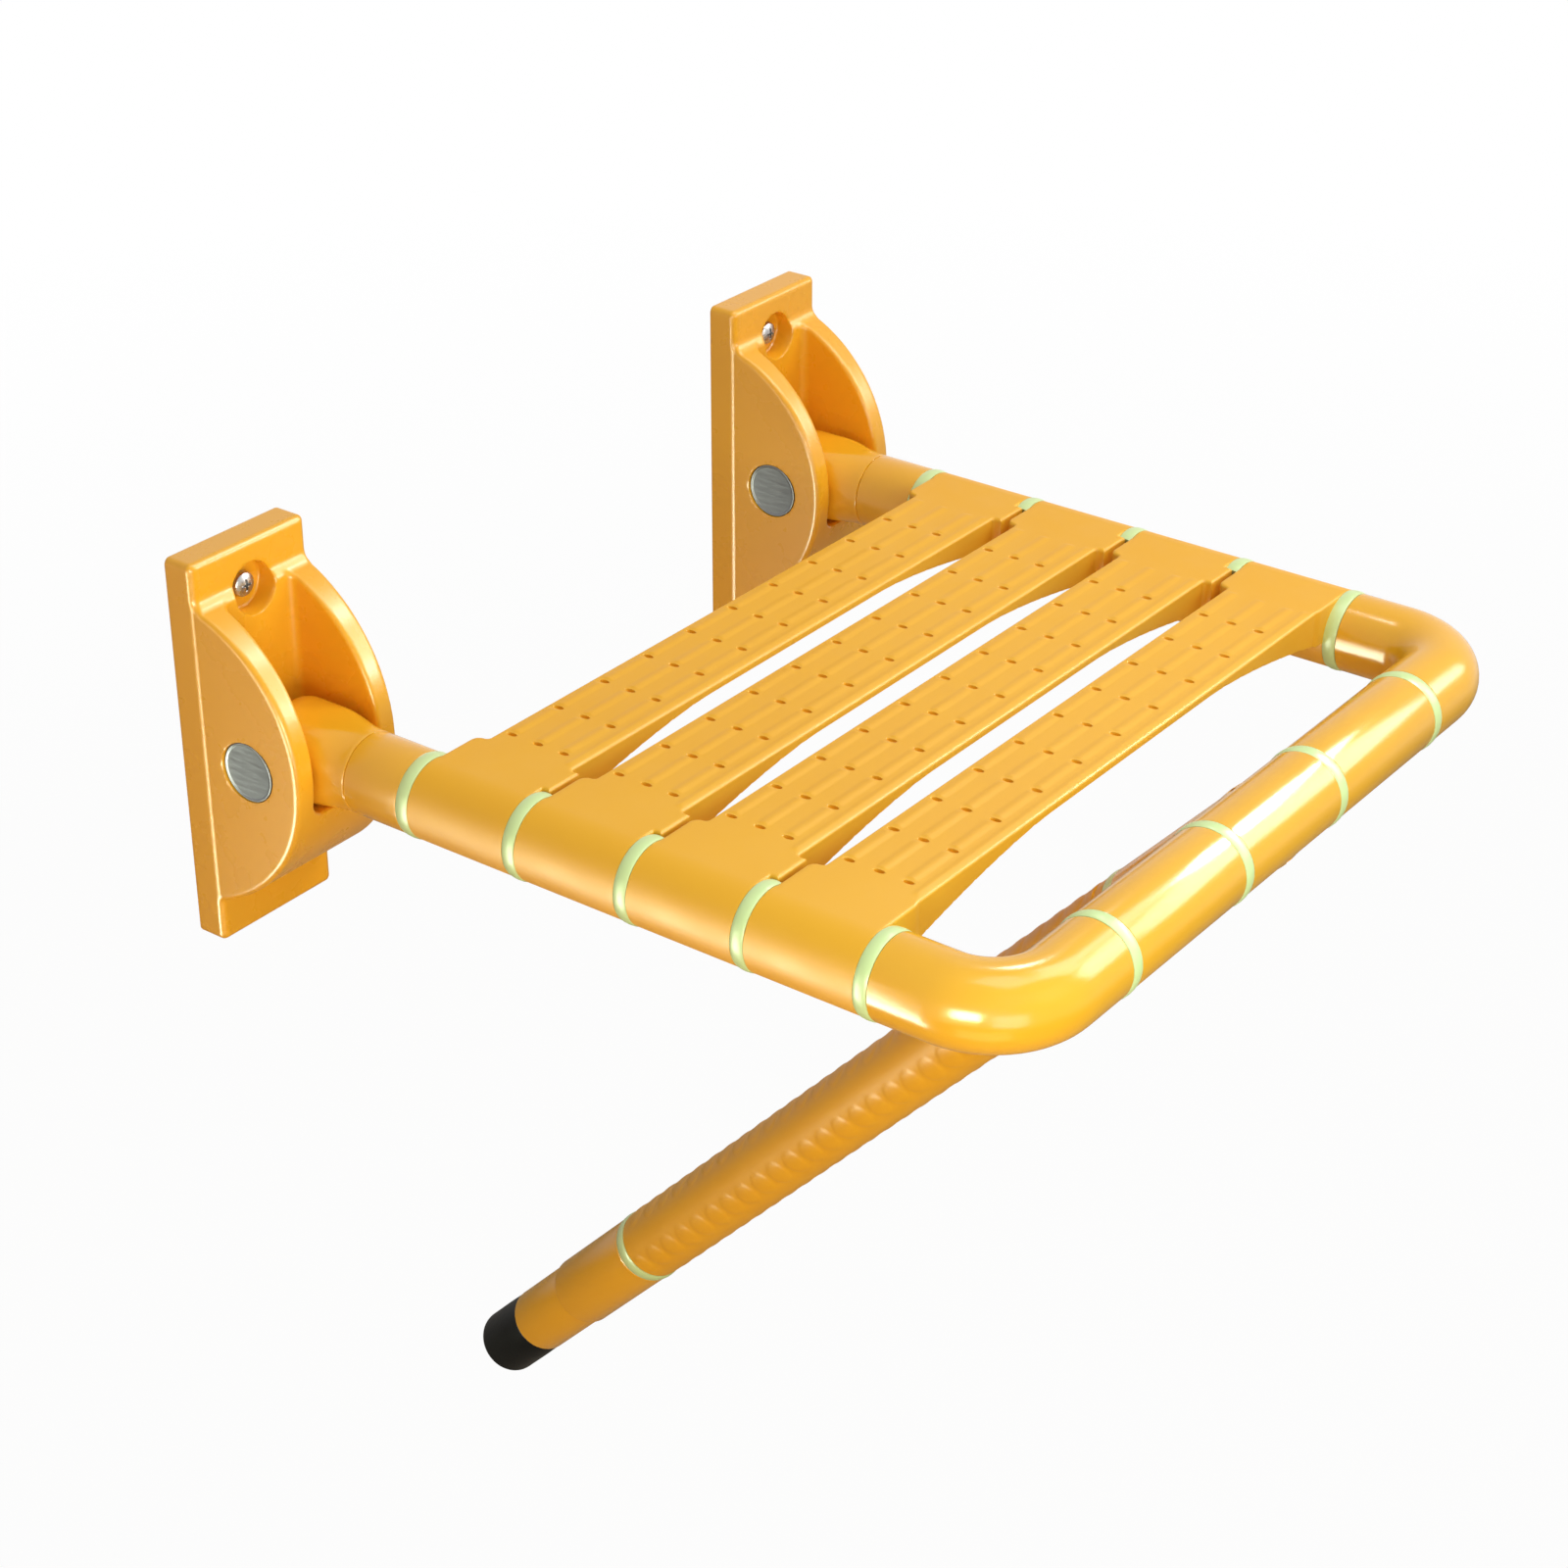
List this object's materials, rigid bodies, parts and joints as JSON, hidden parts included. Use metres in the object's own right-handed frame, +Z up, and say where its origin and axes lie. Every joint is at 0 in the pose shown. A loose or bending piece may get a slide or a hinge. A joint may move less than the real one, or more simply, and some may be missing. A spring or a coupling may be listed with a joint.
{
  "type": "folding shower seat",
  "caption": "Wall-mounted folding shower seat: a tubular frame with contoured slats and pale glow rings, hinged in two wall brackets, with a swinging support leg.",
  "frame": {"origin": "on the wall plane, midway between the two brackets, at the height of the hinge pins", "axes": "+X along the wall towards the right bracket as seen by someone facing the wall, +Y into the wall, +Z up; the seat reaches out along -Y"},
  "size_m": [0.4156, 0.4391, 0.5482],
  "materials": {
    "nylon": "glossy",
    "satin_nylon": "satin",
    "glow_ring": "satin",
    "steel": "satin",
    "pin_cap": "satin",
    "liner": "satin",
    "rubber": "matte"
  },
  "bodies": {
    "wall_brackets": {"bracket_left": "nylon", "wall_screw_upper_left": "steel", "wall_screw_lower_left": "steel", "pivot_pin_left": "steel", "pin_cap_outer_left": "pin_cap", "thrust_washer_outer_left": "liner", "pin_cap_inner_left": "pin_cap", "thrust_washer_inner_left": "liner", "bracket_right": "nylon", "wall_screw_upper_right": "steel", "wall_screw_lower_right": "steel", "pivot_pin_right": "steel", "pin_cap_outer_right": "pin_cap", "thrust_washer_outer_right": "liner", "pin_cap_inner_right": "pin_cap", "thrust_washer_inner_right": "liner"},
    "seat": {"frame_tube": "steel", "knuckle_left": "nylon", "rear_sleeve_left": "nylon", "corner_sleeve_left": "nylon", "bar_sleeve_left": "nylon", "pivot_bush_left": "liner", "glow_ring_left_1": "glow_ring", "glow_ring_left_2": "glow_ring", "glow_ring_left_3": "glow_ring", "glow_ring_left_4": "glow_ring", "glow_ring_left_5": "glow_ring", "knuckle_right": "nylon", "rear_sleeve_right": "nylon", "corner_sleeve_right": "nylon", "bar_sleeve_right": "nylon", "pivot_bush_right": "liner", "glow_ring_right_1": "glow_ring", "glow_ring_right_2": "glow_ring", "glow_ring_right_3": "glow_ring", "glow_ring_right_4": "glow_ring", "glow_ring_right_5": "glow_ring", "slat_1": "satin_nylon", "bar_ring_1": "glow_ring", "slat_2": "satin_nylon", "bar_ring_2": "glow_ring", "slat_3": "satin_nylon", "bar_ring_3": "glow_ring", "slat_4": "satin_nylon", "bar_ring_4": "glow_ring"},
    "leg": {"leg_tee": "nylon", "leg_tube": "steel", "leg_ring_upper": "glow_ring", "leg_grip": "nylon", "leg_ring_lower": "glow_ring", "leg_sleeve": "nylon", "leg_extension": "nylon", "leg_foot": "rubber"}
  },
  "joints": [
    {"name": "seat_fold", "type": "hinge", "parent": "wall_brackets", "child": "seat", "pos_m": [0, -0.035, 0], "axis": [-1, 0, 0], "range_deg": [0, 90]},
    {"name": "leg_fold", "type": "hinge", "parent": "seat", "child": "leg", "pos_m": [0, -0.3815, 0], "axis": [1, 0, 0], "range_deg": [-42.2, 37.5]}
  ]
}
